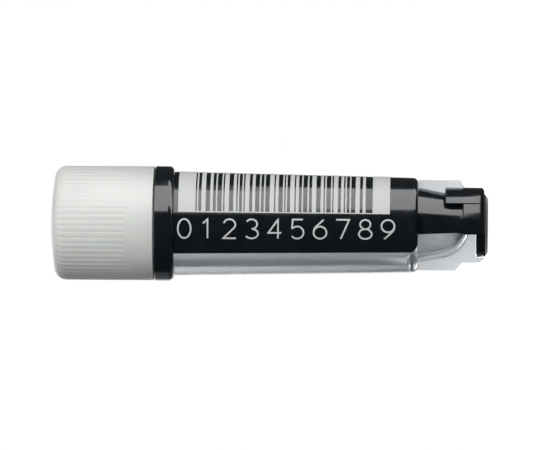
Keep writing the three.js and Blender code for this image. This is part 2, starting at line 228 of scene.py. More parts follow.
def revolve(name, outline, segments=SEGMENTS):
    """A closed outline of (radius, height) points, anticlockwise, turned about the axis."""
    vertices, rings = [], []
    for radius, height in outline:
        count = 1 if radius < ON_AXIS else segments
        rings.append((len(vertices), count))
        vertices += [polar(radius, math.tau * i / segments, height) for i in range(count)]
    faces = []
    for (a, a_count), (b, b_count) in zip(rings, rings[1:] + rings[:1]):
        if a_count == 1 and b_count == 1:
            continue
        for i in range(segments):
            j = (i + 1) % segments
            corners = [a + i % a_count, a + j % a_count, b + j % b_count, b + i % b_count]
            faces.append(list(dict.fromkeys(corners)))
    return solid(name, vertices, faces)


def prism(name, outline, low, high):
    """An anticlockwise outline of (x, y) points, from one height to another."""
    count = len(outline)
    vertices = [(x, y, low) for x, y in outline] + [(x, y, high) for x, y in outline]
    faces = [list(range(count))[::-1], list(range(count, 2 * count))]
    for i in range(count):
        j = (i + 1) % count
        faces.append([i, j, count + j, count + i])
    return solid(name, vertices, faces)


def plate(name, outline, thickness):
    """An anticlockwise outline of (x, z) points as a plate centred on y = 0."""
    made = prism(name, outline, -thickness / 2, thickness / 2)
    made.data.transform(Matrix.Rotation(math.pi / 2, 4, "X"))
    return made


def sector(name, start, end):
    """A slice of the round between two angles in degrees, larger than any piece here."""
    reach = 2 * COLLAR_RADIUS
    rim = spaced(start, end, math.ceil((end - start) / SECTOR_STEP))
    outline = [(0, 0)] + [(reach * math.cos(a), reach * math.sin(a)) for a in rim]
    return prism(name, outline, -CUT_PAST, CAP_TOP + CUT_PAST)


def combine(target, operation, *others):
    """Adds, subtracts or intersects other solids, which are used up."""
    for other in others:
        modifier = target.modifiers.new(operation, "BOOLEAN")
        modifier.operation = operation
        modifier.solver = "MANIFOLD"
        modifier.object = other
        bpy.context.view_layer.update()
        graph = bpy.context.evaluated_depsgraph_get()
        result = bpy.data.meshes.new_from_object(target.evaluated_get(graph))
        target.modifiers.clear()
        target.data = result
        bpy.data.objects.remove(other)
    return target


def add(target, *others):
    return combine(target, "UNION", *others)


def subtract(target, *others):
    return combine(target, "DIFFERENCE", *others)


def intersect(target, *others):
    return combine(target, "INTERSECT", *others)


def quarter(radius, height, size, start):
    """Points along a quarter circle, anticlockwise, round a centre in an outline."""
    return [
        (radius + size * math.cos(a), height + size * math.sin(a))
        for a in spaced(start, start + 90, ARC_STEPS)
    ]


def rounded_foot(radius, height, size):
    """Points up the rounded lower edge of an outline, from its underside to its side."""
    return quarter(radius - size, height + size, size, -90)


def chamfered_top(radius, height, size):
    """Points over the chamfered upper edge of an outline, from its side to its top."""
    return [(radius, height - size), (radius - size, height)]


# ---------------------------------------------------------------- shared forms
def body_radius(z):
    """Outside of jacket and window land, which have a little draft."""
    return BODY_TOP_RADIUS - math.tan(BODY_DRAFT) * (COLLAR_BOTTOM - z)


def barrel_radius(z):
    """Outside of the clear tube under the jacket."""
    return body_radius(z) - JACKET_WALL


def barrel_space_radius(z):
    """The room that the jacket leaves for the barrel, less the weld between them."""
    return barrel_radius(z) - SHOT_OVERLAP


def bore_radius(z):
    return BORE_RADIUS - BORE_DRAFT * (RIM - z)


def cone_radius(z, inset=0.0):
    """The bottom cone, or a cone inside it."""
    side = (BOTTOM_RADIUS - inset) / math.cos(CONE_ANGLE)
    return side + (z - BOTTOM_CENTRE) * math.tan(CONE_ANGLE)


def rounded_bottom(inset=0.0):
    """Points from the axis round the bottom to where it meets the cone."""
    radius = BOTTOM_RADIUS - inset
    steps = 3 * ARC_STEPS
    turn = math.pi / 2 - CONE_ANGLE
    angles = [turn * i / steps for i in range(steps + 1)]
    return [(radius * math.sin(a), BOTTOM_CENTRE - radius * math.cos(a)) for a in angles]


def vessel(name, inset, barrel, top):
    """A test-tube form: rounded bottom, short cone, shoulder and barrel."""
    return revolve(name, [
        *rounded_bottom(inset),
        (cone_radius(JACKET_END, inset), JACKET_END),
        (barrel(SHOULDER_TOP), SHOULDER_TOP),
        (barrel(top), top),
        (0, top),
    ])


def edge_bars(name, outline):
    """Two bars that run outwards from the axis along the black wall's edges beside the window.

    Their outline is of (x, z) points: x from the edge into the wall, z up from its lower end.
    """
    mirrored = [(-x, z) for x, z in reversed(outline)]
    bars = []
    for shape, turn in ((outline, 90 - SHELL_EDGE), (mirrored, 90 + SHELL_EDGE)):
        made = prism(name, shape, 0, 2 * BODY_TOP_RADIUS)
        made.data.transform(Matrix.Rotation(math.pi / 2, 4, "X"))
        made.data.transform(Matrix.Translation((0, 0, JACKET_END)))
        made.data.transform(Matrix.Rotation(math.radians(turn), 4, "Z"))
        bars.append(made)
    return bars


def corner_arc(size):
    """Points down the round corner of the black wall, for an outline of bars along its edge."""
    return quarter(WINDOW_CORNER, WINDOW_CORNER, size, 180)[::-1]


def thread_ridge(name, wall, crest_radius, start, bottom):
    """One ridge of a thread: a rounded trapezium swept along a helix, run out at both ends.

    It stands on a wall of a radius, outwards or inwards to its crest's radius. It starts at a
    part of a turn round the axis, and at a bottom height.
    """
    steps = round(THREAD_TURNS * SEGMENTS)
    outward = math.copysign(1, crest_radius - wall)
    slope = (RIDGE_ROOT_WIDTH - RIDGE_CREST_WIDTH) / THREAD_DEPTH
    sink = RIDGE_SINK * outward
    root = wall - sink

    def half_width(radius):
        return RIDGE_CREST_WIDTH / 2 + slope * abs(crest_radius - radius) / 2

    vertices, faces = [], []
    for i in range(steps + 1):
        turned = 360 * THREAD_TURNS * i / steps
        to_go = 360 * THREAD_TURNS - turned
        rise = min(1, turned / THREAD_RUN_OUT, to_go / THREAD_RUN_OUT)
        rise = math.sin(rise * math.pi / 2)
        crest = wall - sink / 2 + (crest_radius - wall + sink / 2) * rise
        soft = crest - CREST_DROP * outward * rise
        crest_half = half_width(crest) - CREST_INSET
        angle = math.radians(360 * start + turned)
        height = bottom + THREAD_LEAD * turned / 360
        section = [
            (root, -half_width(root)), (soft, -half_width(soft)), (crest, -crest_half),
            (crest, crest_half), (soft, half_width(soft)), (root, half_width(root)),
        ]
        vertices += [polar(r, angle, height + offset) for r, offset in section]
    sides = len(section)
    for i in range(steps):
        for side in range(sides):
            here, following = sides * i + side, sides * i + (side + 1) % sides
            faces.append([following, here, here + sides, following + sides])
    last = sides * steps
    faces.append(list(range(sides)))
    faces.append([last + side for side in reversed(range(sides))])
    if outward < 0:
        faces = [face[::-1] for face in faces]
    return solid(name, vertices, faces)


def thread(name, wall, crest_radius, start, bottom):
    """The ridges of a thread, one for each of its starts."""
    return [
        thread_ridge(f"{name}_{i}", wall, crest_radius, start + i / THREAD_STARTS, bottom)
        for i in range(THREAD_STARTS)
    ]


# ---------------------------------------------------------------- clear tube
def make_neck():
    neck = revolve("neck", [
        (0, COLLAR_BOTTOM),
        (NECK_RADIUS, COLLAR_BOTTOM),
        (NECK_RADIUS, RIM - RIM_CHAMFER),
        (NECK_RADIUS - RIM_CHAMFER / 3, RIM - RIM_CHAMFER / 3),
        (NECK_RADIUS - RIM_CHAMFER, RIM),
        (0, RIM),
    ])
    crest = NECK_RADIUS + THREAD_DEPTH
    return add(neck, *thread("neck_thread", NECK_RADIUS, crest, 0, NECK_THREAD_BOTTOM))


def make_window_land():
    """The clear land that fills the jacket's wall at the window, with its round lower corners."""
    top = COLLAR_BOTTOM + SHOT_OVERLAP
    land = revolve("land", [
        *rounded_bottom(),
        (cone_radius(JACKET_END), JACKET_END),
        *rounded_foot(body_radius(JACKET_END), JACKET_END, JACKET_END_ROUNDING),
        (body_radius(COLLAR_BOTTOM), top),
        (0, top),
    ])
    clear = sector("land_sector", 180 - WINDOW_ANGLE / 2, 180 + WINDOW_ANGLE / 2)
    add(clear, *edge_bars("corner_fill", [
        (-WINDOW_CORNER, 0),
        (WINDOW_CORNER, 0),
        *corner_arc(WINDOW_CORNER - SHOT_OVERLAP),
        (-WINDOW_CORNER, WINDOW_CORNER),
    ]))
    return intersect(land, clear)


def make_clear_bottom():
    """The part of the bottom cone that the strap leaves free."""
    top = JACKET_END + SHOT_OVERLAP
    cone = revolve("cone", [*rounded_bottom(), (cone_radius(top), top), (0, top)])
    return intersect(cone, sector("cone_sector", STRAP_ANGLE / 2, 360 - STRAP_ANGLE / 2))


def make_slot_fin():
    """The clear fin on the black side, in the slot of the foot."""
    low = SLOT_FLOOR - SHOT_OVERLAP
    high = JACKET_END + SHOT_OVERLAP
    return plate("slot_fin", [
        (0, low),
        (LUG_RADIUS, low),
        (FIN_RADIUS, low + SLOT_FIN_LEAD),
        (FIN_RADIUS, high),
        (0, high),
    ], FIN_THICKNESS)


def make_window_fin():
    """The clear fin under the window, which goes down past the foot disc's edge."""
    disc_edge = -(DISC_RADIUS + FIN_TO_DISC)
    top = DISC_THICKNESS + FIN_TO_DISC
    return plate("window_fin", [
        (-FIN_THICKNESS / 2, top),
        (-FIN_THICKNESS / 2, JACKET_END),
        (-FIN_RADIUS, JACKET_END),
        (-FIN_RADIUS, FOOT_RING_TOP + WINDOW_FIN_LEAD),
        (-FOOT_RING_RADIUS, FOOT_RING_TOP),
        (-FOOT_RING_RADIUS, FOOT_RING_BASE + FOOT_ROUNDING),
        (-FOOT_RING_RADIUS + FOOT_ROUNDING, FOOT_RING_BASE),
        (disc_edge, FOOT_RING_BASE),
        (disc_edge, top),
    ], FIN_THICKNESS)


def make_tube():
    made = vessel("clear_tube", INLAY_DEPTH, barrel_radius, COLLAR_TOP)
    add(made, make_neck(), make_window_land(), make_clear_bottom())
    add(made, make_slot_fin(), make_window_fin())
    return subtract(made, vessel("bore", BOTTOM_WALL, bore_radius, RIM + CUT_PAST))


# ---------------------------------------------------------------- black jacket
def make_collar():
    return revolve("black_jacket", [
        (0, COLLAR_BOTTOM),
        *rounded_foot(COLLAR_RADIUS, COLLAR_BOTTOM, COLLAR_ROUNDING),
        *chamfered_top(COLLAR_RADIUS, COLLAR_TOP, COLLAR_CHAMFER),
        (0, COLLAR_TOP),
    ])


def make_shell():
    """The black wall round the barrel, as far as the window, with its round lower corners."""
    top = COLLAR_BOTTOM + COLLAR_ROUNDING
    outline = revolve("shell", [
        (0, JACKET_END),
        *rounded_foot(body_radius(JACKET_END), JACKET_END, JACKET_END_ROUNDING),
        (BODY_TOP_RADIUS, COLLAR_BOTTOM),
        (BODY_TOP_RADIUS, top),
        (0, top),
    ])
    wall = intersect(outline, sector("shell_sector", -SHELL_EDGE, SHELL_EDGE))
    return subtract(wall, *edge_bars("square_corner", [
        (-WINDOW_CORNER, -WINDOW_CORNER),
        (WINDOW_CORNER, -WINDOW_CORNER),
        *corner_arc(WINDOW_CORNER),
        (-WINDOW_CORNER, WINDOW_CORNER),
    ]))


def make_foot_band(name, radius, top, angle):
    """The foot ring or the lugs: a band of the foot, over an angle on the black side."""
    band = revolve(name, [
        (0, FOOT_RING_BASE),
        *rounded_foot(radius, FOOT_RING_BASE, FOOT_ROUNDING),
        *chamfered_top(radius, top, FOOT_CHAMFER),
        (0, top),
    ])
    return intersect(band, sector(name + "_sector", -angle / 2, angle / 2))


def make_strap():
    """The black strap over the bottom cone, from the wall's lower end to the foot ring."""
    start = BOTTOM_CENTRE + (STRAP_RADIUS - cone_radius(BOTTOM_CENTRE)) / math.tan(CONE_ANGLE)
    top = JACKET_END + JACKET_END_ROUNDING
    wall = revolve("strap", [
        (0, FOOT_RING_BASE),
        (STRAP_RADIUS, FOOT_RING_BASE),
        (STRAP_RADIUS, start),
        (cone_radius(JACKET_END), JACKET_END),
        (cone_radius(JACKET_END), top),
        (0, top),
    ])
    edge = STRAP_ANGLE / 2 + math.degrees(SHOT_OVERLAP / STRAP_RADIUS)
    return intersect(wall, sector("strap_sector", -edge, edge))


def make_foot_disc():
    return revolve("foot_disc", [
        (0, 0),
        (FOOT_FLAT_RADIUS, 0),
        (DISC_RADIUS, FOOT_RING_BASE),
        *chamfered_top(DISC_RADIUS, DISC_THICKNESS, DISC_CHAMFER),
        (0, DISC_THICKNESS),
    ])


def make_foot_cavity():
    """The hollow between the foot disc and the black wall over it, open at the window side."""
    return revolve("foot_cavity", [
        (0, DISC_THICKNESS),
        (FOOT_RING_INNER, DISC_THICKNESS),
        (FOOT_RING_INNER, CAVITY_EDGE),
        (0, CAVITY_MIDDLE),
    ])


def make_fin_slot():
    return plate("fin_slot", [
        (0, SLOT_FLOOR),
        (2 * FIN_RADIUS, SLOT_FLOOR),
        (2 * FIN_RADIUS, JACKET_END),
        (0, JACKET_END),
    ], FIN_THICKNESS - 2 * SHOT_OVERLAP)


def make_jacket():
    made = make_collar()
    add(made, make_shell(), make_strap())
    add(made, make_foot_band("foot_ring", FOOT_RING_RADIUS, FOOT_RING_TOP, STRAP_ANGLE))
    add(made, make_foot_band("lug", LUG_RADIUS, LUG_TOP, LUG_ANGLE))
    subtract(made, make_foot_cavity())
    add(made, make_foot_disc())
    space = vessel("tube_space", INLAY_DEPTH + SHOT_OVERLAP, barrel_space_radius, CAP_TOP)
    return subtract(made, space, make_fin_slot())


# ---------------------------------------------------------------- screw cap
def smooth(value):
    """A soft step from 0 at 0 to 1 at 1."""
    value = min(1.0, max(0.0, value))
    return value * value * (3 - 2 * value)


def flute_depth(step, z):
    """Depth of the flutes at a step round the cap and a height, faded at their lower ends."""
    phase = (step % FLUTE_STEPS) / FLUTE_STEPS
    across = smooth(1 - abs(phase - 0.5) / FLUTE_HALF_WIDTH)
    return FLUTE_DEPTH * across * smooth((z - BAND_TOP) / FLUTE_FADE)


def cap_outside():
    """(radius, height) points from the skirt's inner edge, up the outside, to the axis."""
    dome = [CAP_CORNER * (1 - (i + 1) / DOME_STEPS) for i in range(DOME_STEPS)]
    return [
        (CAP_BORE_RADIUS + CAP_EDGE, CAP_BOTTOM),
        (CAP_RADIUS - CAP_EDGE, CAP_BOTTOM),
        (CAP_RADIUS - CAP_EDGE / 4, CAP_BOTTOM + CAP_EDGE / 4),
        (CAP_RADIUS, CAP_BOTTOM + CAP_EDGE),
        (CAP_RADIUS, BAND_TOP - BAND_LOOP),
        *((CAP_RADIUS, BAND_TOP + FLUTE_FADE * i / FADE_STEPS) for i in range(FADE_STEPS + 1)),
        *quarter(CAP_CORNER, CAP_SHOULDER - CAP_CORNER_RADIUS, CAP_CORNER_RADIUS, 0),
        *((r, CAP_APEX - DOME_RADIUS + math.sqrt(DOME_RADIUS ** 2 - r ** 2)) for r in dome),
    ]


def cap_inside():
    """(radius, height) points from the axis, down the bore and over the seal's bead."""
    bead_top = RIM - BEAD_GAP
    return [
        (0, CAP_CEILING),
        (CAP_BORE_RADIUS, CAP_CEILING),
        (CAP_BORE_RADIUS, bead_top),
        (CAP_BORE_RADIUS - BEAD_DEPTH, bead_top - BEAD_HEIGHT / 2),
        (CAP_BORE_RADIUS, bead_top - BEAD_HEIGHT),
        (CAP_BORE_RADIUS, CAP_BOTTOM + CAP_EDGE),
    ]


def make_cap_body():
    """Outside and inside of the cap as one closed grid; its flutes are waves in the outside."""
    count = FLUTES * FLUTE_STEPS
    made = revolve("fluted_cap", cap_outside() + cap_inside(), count)
    for vertex in made.data.vertices:
        x, y, z = vertex.co
        radius = math.hypot(x, y)
        skin = radius > CAP_BORE_RADIUS + SKIN_MARGIN or z > CAP_CEILING + SKIN_MARGIN
        if not skin or radius < CAP_CORNER or z < BAND_TOP:
            continue
        step = round(math.atan2(y, x) / math.tau * count) % count
        run_out = smooth((radius - CAP_CORNER) / (CAP_CORNER_RADIUS - FLUTE_TOP_INSET))
        wanted = min(radius, CAP_RADIUS) - flute_depth(step, z) * run_out
        vertex.co.x *= wanted / radius
        vertex.co.y *= wanted / radius
    return made


def make_gate_dimple():
    return revolve("gate", [
        (0, CAP_APEX - GATE_DEPTH),
        (GATE_RADIUS - GATE_SLOPE, CAP_APEX - GATE_DEPTH),
        (GATE_RADIUS, CAP_APEX),
        (GATE_RADIUS, CAP_APEX + CUT_PAST),
        (0, CAP_APEX + CUT_PAST),
    ])


def make_cap():
    flank = (RIDGE_ROOT_WIDTH - RIDGE_CREST_WIDTH) * (1 + THREAD_CLEARANCE / THREAD_DEPTH) / 2
    under_neck_ridge = RIDGE_ROOT_WIDTH - flank + FLANK_CLEARANCE
    bottom = NECK_THREAD_BOTTOM - THREAD_LEAD * THREAD_LAG - under_neck_ridge
    crest = CAP_BORE_RADIUS - THREAD_DEPTH
    made = make_cap_body()
    add(made, *thread("cap_thread", CAP_BORE_RADIUS, crest, -THREAD_LAG, bottom))
    return subtract(made, make_gate_dimple())


# ---------------------------------------------------------------- plug seal
def make_seal():
    """A disc under the cap's ceiling, with a plug lip that goes down into the bore."""
    plug_bottom = RIM - PLUG_LENGTH
    plug = bore_radius(plug_bottom) - SEAL_GAP
    lip = plug - PLUG_WALL
    rim = CAP_BORE_RADIUS - SEAL_GAP
    return revolve("plug_seal", [
        (0, RIM),
        (lip, RIM),
        (lip, plug_bottom + SEAL_CHAMFER),
        (lip + SEAL_CHAMFER, plug_bottom),
        (plug - PLUG_LEAD, plug_bottom),
        (plug - PLUG_LEAD / 4, plug_bottom + PLUG_LEAD / 2),
        (plug, plug_bottom + PLUG_LEAD),
        (plug, RIM),
        (rim - SEAL_CHAMFER, RIM),
        (rim, RIM + SEAL_CHAMFER),
        (rim, CAP_CEILING),
        (0, CAP_CEILING),
    ])


# ---------------------------------------------------------------- laser marks
def mark_patch(start, end, top, bottom):
    """A thin closed patch on the jacket, between two angles in degrees and two heights."""
    steps = max(2, math.ceil((end - start) / MARK_STEP))
    vertices = []
    for angle in spaced(start, end, steps):
        for z in (bottom, top):
            for lift in (-MARK_SINK, MARK_LIFT):
                vertices.append(polar(body_radius(z) + lift, angle, z))
    faces = [[0, 1, 3, 2]]
    for i in range(steps):
        a, b = 4 * i, 4 * i + 4
        faces += [[a + 1, b + 1, b + 3, a + 3], [a, a + 2, b + 2, b]]
        faces += [[a, b, b + 1, a + 1], [a + 2, a + 3, b + 3, b + 2]]
    last = 4 * steps
    faces.append([last, last + 2, last + 3, last + 1])
    return vertices, faces


def join_parts(name, parts):
    """One object of several (points, faces) parts."""
    vertices, faces = [], []
    for part_vertices, part_faces in parts:
        base = len(vertices)
        vertices += part_vertices
        faces += [[base + corner for corner in face] for face in part_faces]
    return solid(name, vertices, faces)


def bar_edges():
    """Upper and lower heights of the white stripes in a generic bar pattern."""
    top = MARK_FIELD_TOP - MARK_QUIET
    bottom = MARK_FIELD_BOTTOM + MARK_QUIET
    edges, z, i = [], top, 0
    while True:
        dark = BAR_MODULE * (1 + (i * 7 + i // 3) % 3)
        light = BAR_MODULE * (1 + (i * 5 + i // 4) % 3)
        if z - dark - light < bottom + BAR_MODULE:
            return edges
        edges.append((z - dark, z - dark - light))
        z -= dark + light
        i += 1


def make_bar_marks():
    parts = [mark_patch(MARK_FROM, MARK_TO, MARK_FIELD_TOP, MARK_FIELD_TOP - MARK_QUIET)]
    parts += [mark_patch(MARK_FROM, MARK_TO, top, bottom) for top, bottom in bar_edges()]
    parts.append(mark_patch(MARK_FROM, MARK_TO, MARK_FIELD_BOTTOM + MARK_QUIET, MARK_FIELD_BOTTOM))
    parts.append(mark_patch(MARK_FROM - MARK_RULE, MARK_FROM, MARK_FIELD_TOP, MARK_FIELD_BOTTOM))
    return join_parts("bar_marks", parts)


def arc(x, y, width, height, start, end):
    """Points along part of an ellipse, in degrees anticlockwise, in a digit's box of 1 by 1."""
    steps = max(3, math.ceil(abs(end - start) / DIGIT_ARC_STEP))
    return [
        (x + width / 2 * math.cos(a), y + height / 2 * math.sin(a))
        for a in spaced(start, end, steps)
    ]


DIGIT_STROKES = {
    "0": [arc(0.5, 0.5, 1, 1, 90, 450)],
    "1": [[(0.2, 0.78), (0.55, 1), (0.55, 0)]],
    "2": [arc(0.5, 0.72, 0.9, 0.56, 165, -35) + [(0, 0), (1, 0)]],
    "3": [arc(0.46, 0.75, 0.86, 0.5, 150, -90), arc(0.46, 0.25, 1, 0.5, 90, -150)],
    "4": [[(0.75, 0), (0.75, 1), (0, 0.3), (1, 0.3)]],
    "5": [[(0.92, 1), (0.14, 1), (0.08, 0.56)] + arc(0.48, 0.32, 1, 0.64, 135, -145)],
    "6": [[(0.78, 1)] + arc(0.5, 0.36, 1, 0.72, 135, 180), arc(0.5, 0.32, 1, 0.64, 0, 360)],
    "7": [[(0, 1), (1, 1), (0.35, 0)]],
    "8": [arc(0.5, 0.76, 0.8, 0.48, 0, 360), arc(0.5, 0.26, 1, 0.52, 0, 360)],
    "9": [[(0.22, 0)] + arc(0.5, 0.64, 1, 0.72, -45, 0), arc(0.5, 0.68, 1, 0.64, 0, 360)],
}


def stroke_points(box_points):
    """A stroke's points in millimetres round the digit's middle, no further apart than a step.

    Also says whether the stroke is closed.
    """
    corners = [
        Vector(((x - 0.5) * DIGIT_WIDTH, (y - 0.5) * DIGIT_HEIGHT)) for x, y in box_points
    ]
    points = [corners[0]]
    for a, b in zip(corners, corners[1:]):
        pieces = math.ceil((b - a).length / DIGIT_STEP)
        points += [a.lerp(b, (i + 1) / pieces) for i in range(pieces)]
    closed = (corners[0] - corners[-1]).length < SAME_POINT
    return (points[:-1] if closed else points), closed


def stroke_sides(points, closed):
    """(left, right) points of a stroke's edges, mitred at its corners."""
    half = DIGIT_STROKE / 2
    ways = [(b - a).normalized() for a, b in zip(points, points[1:] + points[:1])]
    if not closed:
        ways[-1] = ways[-2]
    sides = []
    for i, point in enumerate(points):
        out = ways[i]
        into = ways[i - 1] if closed or i > 0 else out
        along = (into + out).normalized()
        across = Vector((-along.y, along.x)) * (1 / max(MITRE_FLOOR, along.dot(into)))
        sides.append((point + across * half, point - across * half))
    return sides


def stroke_patch(box_points, middle_height):
    """One stroke of a digit as a thin closed ribbon, laid on the jacket."""
    points, closed = stroke_points(box_points)
    vertices, faces = [], []
    for side in stroke_sides(points, closed):
        for lift in (-MARK_SINK, MARK_LIFT):
            for p in side:
                z = middle_height - p.x
                angle = math.radians(DIGITS_MIDDLE) + p.y / body_radius(z)
                vertices.append(polar(body_radius(z) + lift, angle, z))
    count = len(points)
    for i in range(count if closed else count - 1):
        a, b = 4 * i, 4 * ((i + 1) % count)
        faces += [[a + 2, b + 2, b + 3, a + 3], [a, a + 1, b + 1, b]]
        faces += [[a, b, b + 2, a + 2], [a + 1, a + 3, b + 3, b + 1]]
    if not closed:
        last = 4 * (count - 1)
        faces += [[0, 2, 3, 1], [last, last + 1, last + 3, last + 2]]
    return vertices, faces


def make_digit_marks():
    return join_parts("digit_marks", [
        stroke_patch(box_points, DIGITS_TOP - DIGIT_PITCH * i)
        for i, digit in enumerate(DIGITS)
        for box_points in DIGIT_STROKES[digit]
    ])


# ---------------------------------------------------------------- materials
NOISE_RANGE = (0.3, 0.7)    # the part of a noise that colours and roughnesses are spread over


def new_node(tree, kind, **inputs):
    """A new shader node, with the named inputs set; _ stands for a space in their names."""
    made = tree.nodes.new("ShaderNode" + kind)
    for name, value in inputs.items():
        made.inputs[name.replace("_", " ")].default_value = value
    return made


def node_material(name):
    """A new material and its node tree."""
    material = bpy.data.materials.new(name)
    material.use_nodes = True
    return material, material.node_tree


def make_ramp(tree, value, colors, ends):
    """A colour ramp between two colours, at the two ends of a value."""
    ramp = new_node(tree, "ValToRGB")
    for element, color, end in zip(ramp.color_ramp.elements, colors, ends):
        element.position = end
        element.color = (*color, 1)
    tree.links.new(value, ramp.inputs["Fac"])
    return ramp.outputs["Color"]


def make_span(tree, value, ends, results):
    """A value's range, from one end to the other, mapped to a range of results."""
    (start, end), (low, high) = ends, results
    span = new_node(tree, "MapRange", From_Min=start, From_Max=end, To_Min=low, To_Max=high)
    tree.links.new(value, span.inputs["Value"])
    return span.outputs["Result"]


class Look:
    """A material's node tree, with short calls for the nodes that the plastics share.

    Noise scales are in cells for each metre, and bump distances are in metres.
    """

    def __init__(self, name, **inputs):
        self.material, self.tree = node_material(name)
        self.shader = self.tree.nodes["Principled BSDF"]
        for socket, value in inputs.items():
            self.shader.inputs[socket.replace("_", " ")].default_value = value
        self.place = new_node(self.tree, "TexCoord").outputs["Object"]

    def noise(self, scale, detail, stretch=(1, 1, 1)):
        """A noise in the object's own space, stretched where a factor is under 1."""
        mapping = new_node(self.tree, "Mapping", Scale=stretch)
        noise = new_node(self.tree, "TexNoise", Scale=scale, Detail=detail)
        self.tree.links.new(self.place, mapping.inputs["Vector"])
        self.tree.links.new(mapping.outputs["Vector"], noise.inputs["Vector"])
        return noise.outputs["Fac"]

    def color(self, value, low, high):
        """Base colour between two colours."""
        ramp = make_ramp(self.tree, value, (low, high), NOISE_RANGE)
        self.tree.links.new(ramp, self.shader.inputs["Base Color"])

    def roughness(self, value, low, high):
        """Roughness between two values."""
        span = make_span(self.tree, value, NOISE_RANGE, (low, high))
        self.tree.links.new(span, self.shader.inputs["Roughness"])

    def bump(self, value, strength, distance):
        """A fine relief in the surface."""
        bump = new_node(self.tree, "Bump", Strength=strength, Distance=distance)
        self.tree.links.new(value, bump.inputs["Height"])
        self.tree.links.new(bump.outputs["Normal"], self.shader.inputs["Normal"])


def clear_plastic():
    """Clear polypropylene with a slight haze, drawn out along the tube."""
    look = Look("clear_polypropylene", Transmission_Weight=0.82, IOR=1.49)
    haze = look.noise(420, 4.0, (1, 1, 0.35))
    look.color(haze, (0.6, 0.62, 0.64), (0.67, 0.69, 0.705))
    look.roughness(haze, 0.09, 0.14)
    look.bump(look.noise(900, 2.0, (1, 1, 0.2)), 0.05, 0.00002)
    return look.material


def black_plastic():
    """Glossy black polypropylene with faint clouds."""
    look = Look("black_polypropylene", IOR=1.75)
    look.color(look.noise(500, 4.0), (0.0042, 0.0060, 0.0078), (0.0075, 0.0100, 0.0120))
    look.roughness(look.noise(1400, 5.0), 0.1, 0.16)
    look.bump(look.noise(2600, 4.0), 0.06, 0.00001)
    return look.material


def white_plastic():
    """Off-white satin polypropylene with a fine grain."""
    look = Look("white_polypropylene", IOR=1.49, Subsurface_Weight=0.15, Subsurface_Scale=0.0006)
    look.color(look.noise(260, 4.0, (1, 1, 0.5)), (0.70, 0.715, 0.69), (0.76, 0.77, 0.745))
    look.roughness(look.noise(1800, 5.0), 0.34, 0.48)
    look.bump(look.noise(5200, 6.0), 0.12, 0.00002)
    return look.material


def seal_plastic():
    """Pale matt elastomer."""
    look = Look("seal_elastomer", IOR=1.45, Subsurface_Weight=0.1, Subsurface_Scale=0.0005)
    look.color(look.noise(300, 3.0), (0.55, 0.56, 0.53), (0.63, 0.64, 0.6))
    look.roughness(look.noise(1500, 4.0), 0.5, 0.65)
    look.bump(look.noise(4000, 4.0), 0.1, 0.00002)
    return look.material


def laser_mark():
    """The pale, slightly foamed plastic that a laser leaves, finely speckled."""
    look = Look("laser_mark", IOR=1.4)
    speckle = look.noise(9000, 3.0)
    look.color(speckle, (0.56, 0.57, 0.58), (0.68, 0.69, 0.69))
    look.roughness(speckle, 0.45, 0.75)
    look.bump(speckle, 0.3, 0.00002)
    return look.material


# ---------------------------------------------------------------- pieces on the frame
SHARP_ANGLE = math.radians(34)      # edges sharper than this stay sharp
WELD_DISTANCE = 1e-8                # metres


def settle(piece, body, material, slot, *nodes):
    """Sets a piece in metres, smooths it, gives it its finish and lets it ride on its body."""
    piece.data.transform(Matrix.Scale(MM, 4))
    clean = bmesh.new()
    clean.from_mesh(piece.data)
    bmesh.ops.remove_doubles(clean, verts=clean.verts, dist=WELD_DISTANCE)
    bmesh.ops.recalc_face_normals(clean, faces=clean.faces)
    clean.to_mesh(piece.data)
    clean.free()
    piece.data.shade_smooth()
    piece.data.set_sharp_from_angle(angle=SHARP_ANGLE)
    piece.data.materials.clear()
    piece.data.materials.append(material)
    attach(piece, body)
    if nodes:
        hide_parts(*nodes)


mark_look = laser_mark()
settle(make_tube(), "tube", clear_plastic(), "clear_plastic", "tube")
settle(make_jacket(), "tube", black_plastic(), "black_plastic", "jacket")
settle(make_bar_marks(), "tube", mark_look, "black_plastic")
settle(make_digit_marks(), "tube", mark_look, "black_plastic")
settle(make_cap(), "cap", white_plastic(), "white_plastic", "screw_cap")
settle(make_seal(), "seal", seal_plastic(), "seal_rubber", "cap_seal")

# ---------------------------------------------------------------- camera, in millimetres
MM_ACROSS = 59.75       # width of the picture at the vial
CAMERA_DISTANCE = 900.0
CAMERA_HEIGHT = 2.0
CAMERA_SIDE = -0.1      # the camera stands this far off the axis
CAMERA_ROLL = math.radians(0.41)
AIM_HEIGHT = 24.1
SENSOR_WIDTH = 36
CLIP = (0.05, 20)       # metres

# ---------------------------------------------------------------- studio, in metres
WORLD_TINT = (0.94, 0.97, 1.0, 1)
WORLD_STRENGTH = 0.09

FLOOR_REACH = 3.0
FLOOR_GREYS = (0.48, 0.52)
FLOOR_GRAIN = 300       # cells for each metre
GLOW_REACH = (0.06, 0.22)       # how far from the origin the floor's glow is weak, and full
GLOW_STRENGTH = (0.72, 1.0)     # weak near the vial, so that its shadow shows

CARD_STEP = 5           # degrees between two uprights of a card, at most
CARD_LIFT = 0.00005     # cards lie this far above the floor
CARD_INNER = 0.0033     # cards begin under the foot disc's rounded edge
NEAR_EDGE = 0.01        # the radii at which they meet or stand up
BAND_WALL = 0.35
BACK_WALL = 0.6
LOW = 0.0004            # a card that only lies on the floor stands up this high at its far edge

PALE_BLUE = (0.8, 0.92, 1.0)
PALE_SKY = (0.9, 0.96, 1.0)
WINDOW_BLUE = (0.85, 0.93, 1.0)
BRIGHT = (0.97, 0.98, 1.0)
BRIGHT_STRENGTH = 2.9   # the band of light on the black plastic

